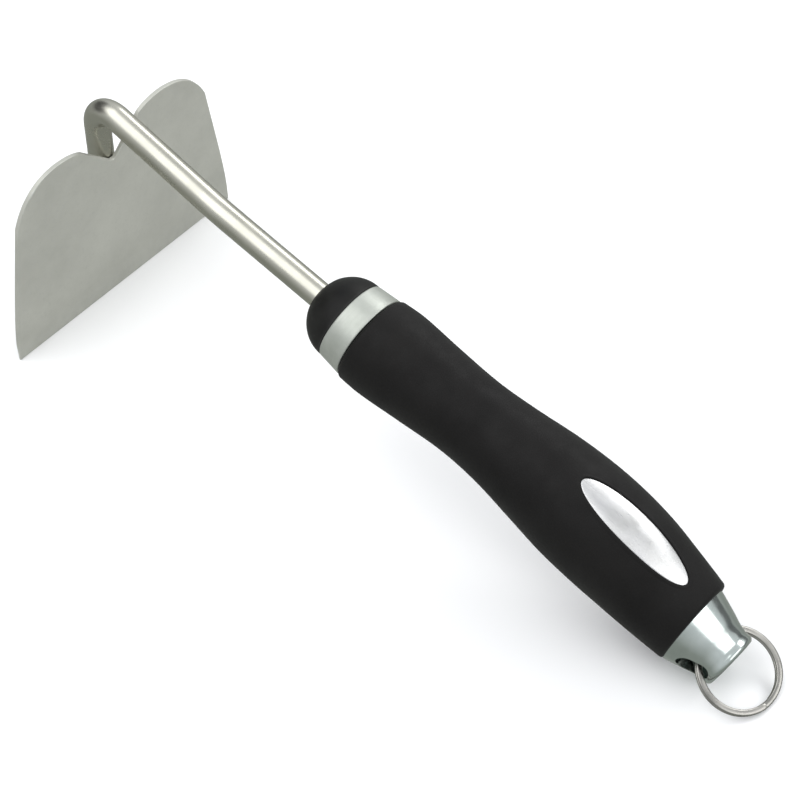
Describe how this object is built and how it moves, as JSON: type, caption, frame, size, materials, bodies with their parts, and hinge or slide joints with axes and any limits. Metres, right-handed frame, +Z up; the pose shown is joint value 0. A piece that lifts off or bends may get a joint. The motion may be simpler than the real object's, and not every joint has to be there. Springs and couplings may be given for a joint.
{
  "type": "hand weeder",
  "caption": "Hand weeder with a wide lobed hoe blade on a bent steel rod, a soft black grip with a metal ferrule, and a hanging ring in its end cap.",
  "frame": {"origin": "centre of the bounding box, on the ground that the tool stands on", "axes": "+X from the blade along the tool to the hanging ring, +Z up, cutting edge along Y"},
  "size_m": [0.2564, 0.0924, 0.0772],
  "materials": {
    "blade_steel": "satin rolled steel, lacquered",
    "rod_steel": "polished round bar",
    "weld_steel": "brushed weld metal",
    "nose_plastic": "satin black moulding",
    "ferrule_silver": "satin aluminium band",
    "core_plastic": "hidden hard core",
    "grip_rubber": "matte soft-touch grip",
    "badge_metal": "long brushed plate",
    "pad_foam": "adhesive foam pad",
    "cap_chrome": "bright plated cap",
    "ring_steel": "spring wire"
  },
  "bodies": {
    "tool": {"blade": "blade_steel", "neck_rod": "rod_steel", "weld_bead_left": "weld_steel", "weld_bead_right": "weld_steel", "nose_cap": "nose_plastic", "ferrule_band": "ferrule_silver", "handle_core": "core_plastic", "grip_sleeve": "grip_rubber", "badge_pad": "pad_foam", "badge_plate": "badge_metal", "end_cap": "cap_chrome"},
    "ring": {"split_ring": "ring_steel"}
  },
  "joints": [
    {"name": "ring_swing", "type": "hinge", "parent": "tool", "child": "ring", "pos_m": [0.11013, 0, 0.00932], "axis": [-0.028, -0.9945, -0.1007], "range_deg": [0, 22]}
  ]
}
